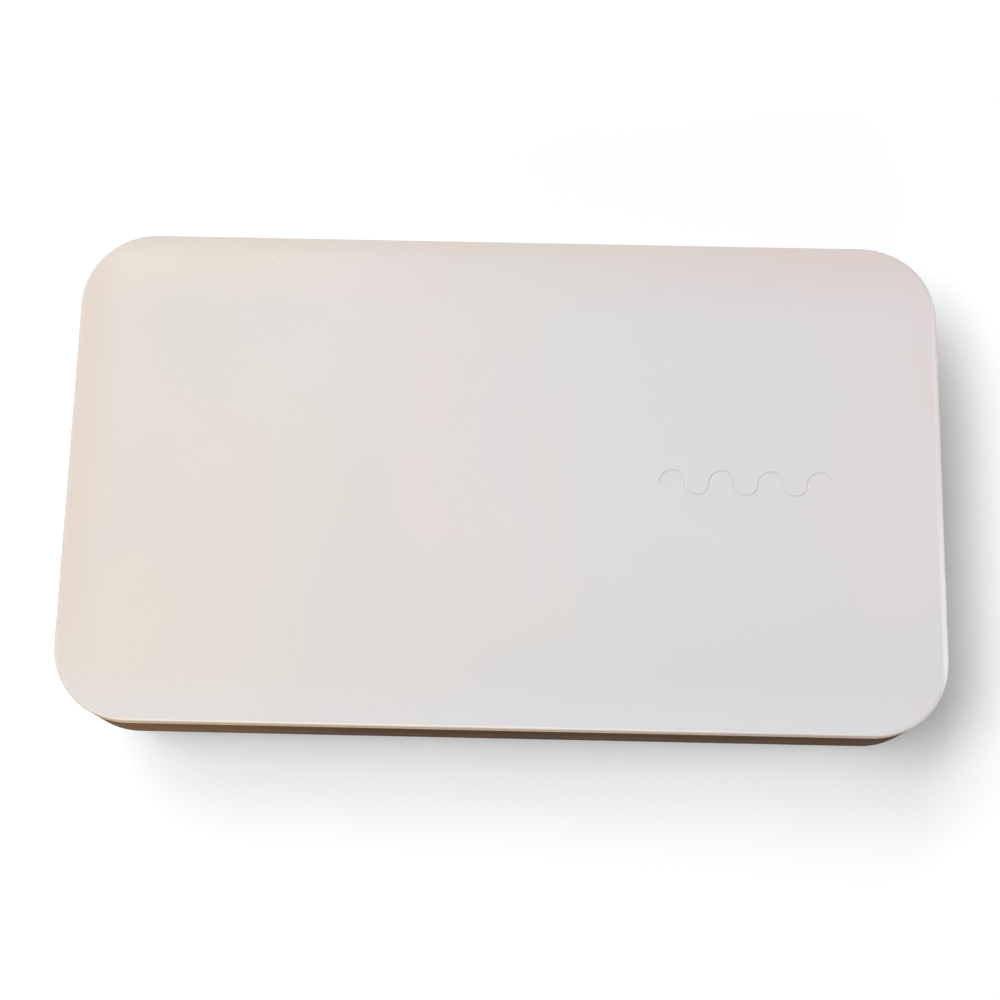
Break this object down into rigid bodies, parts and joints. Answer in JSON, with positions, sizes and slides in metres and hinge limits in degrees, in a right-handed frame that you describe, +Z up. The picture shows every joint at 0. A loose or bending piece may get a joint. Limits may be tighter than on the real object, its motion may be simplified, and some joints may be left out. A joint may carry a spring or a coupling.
{
  "type": "phone sanitizer box",
  "caption": "Flat, wide box with rounded corners and a hinged lid that shuts over a bright chamber, where a phone lies on a wire rack between rows of lamps.",
  "frame": {"origin": "middle of the footprint, at the underside of the feet", "axes": "+X to the right along the long side, +Y to the hinge at the back, +Z up; the front button faces -Y"},
  "size_m": [0.228, 0.131, 0.044],
  "materials": {
    "white_shell": "satin",
    "brown_band": "soft matt",
    "white_inner": "matt",
    "bright_sheet": "bright brushed",
    "dark_rubber": "matt",
    "dark_sleeve": "satin",
    "clear_window": "polished",
    "lamp_body": "satin",
    "circuit_board": "lacquered",
    "dark_plastic": "matt",
    "light_pipe": "frosted",
    "plated_magnet": "plated",
    "steel_parts": "satin",
    "rack_wire": "polished wire",
    "plain_label": "matt"
  },
  "bodies": {
    "base": {"base_shell": "white_shell", "base_band": "brown_band", "base_deck": "white_inner", "chamber_tray": "bright_sheet", "phone_rack": "rack_wire", "base_lenses": "clear_window", "base_lamps": "lamp_body", "base_lamp_board": "circuit_board", "main_board": "circuit_board", "board_chips": "dark_plastic", "usb_socket": "steel_parts", "usb_tongue": "dark_plastic", "button_switch": "dark_plastic", "switch_board": "circuit_board", "status_light": "light_pipe", "lid_sensor": "dark_plastic", "catch_plates": "steel_parts", "bumper_pads": "dark_rubber", "deck_screws": "steel_parts", "hinge_pin": "steel_parts", "hinge_tube": "steel_parts", "base_leads": "dark_sleeve", "feet": "dark_rubber", "rating_label": "plain_label"},
    "lid": {"lid_cover": "white_shell", "lid_band": "brown_band", "lid_hinge_arm": "brown_band", "lid_frame": "white_inner", "lid_seal": "dark_rubber", "lid_liner": "bright_sheet", "lid_lenses": "clear_window", "lid_lamps": "lamp_body", "lid_lamp_board": "circuit_board", "lid_magnets": "plated_magnet", "lid_sensor_magnet": "plated_magnet", "lid_screws": "steel_parts", "lid_lead": "dark_sleeve"},
    "button": {"power_button": "white_shell", "button_plunger": "dark_plastic"}
  },
  "joints": [
    {"name": "lid_hinge", "type": "hinge", "parent": "base", "child": "lid", "pos_m": [0, 0.0629, 0.0288], "axis": [-1, 0, 0], "range_deg": [0, 100]},
    {"name": "button_press", "type": "slide", "parent": "base", "child": "button", "axis": [0, 0.9816, 0.1908], "range_m": [0, 0.0008], "stiffness_N_per_m": 1500, "springref_m": -0.0002}
  ]
}
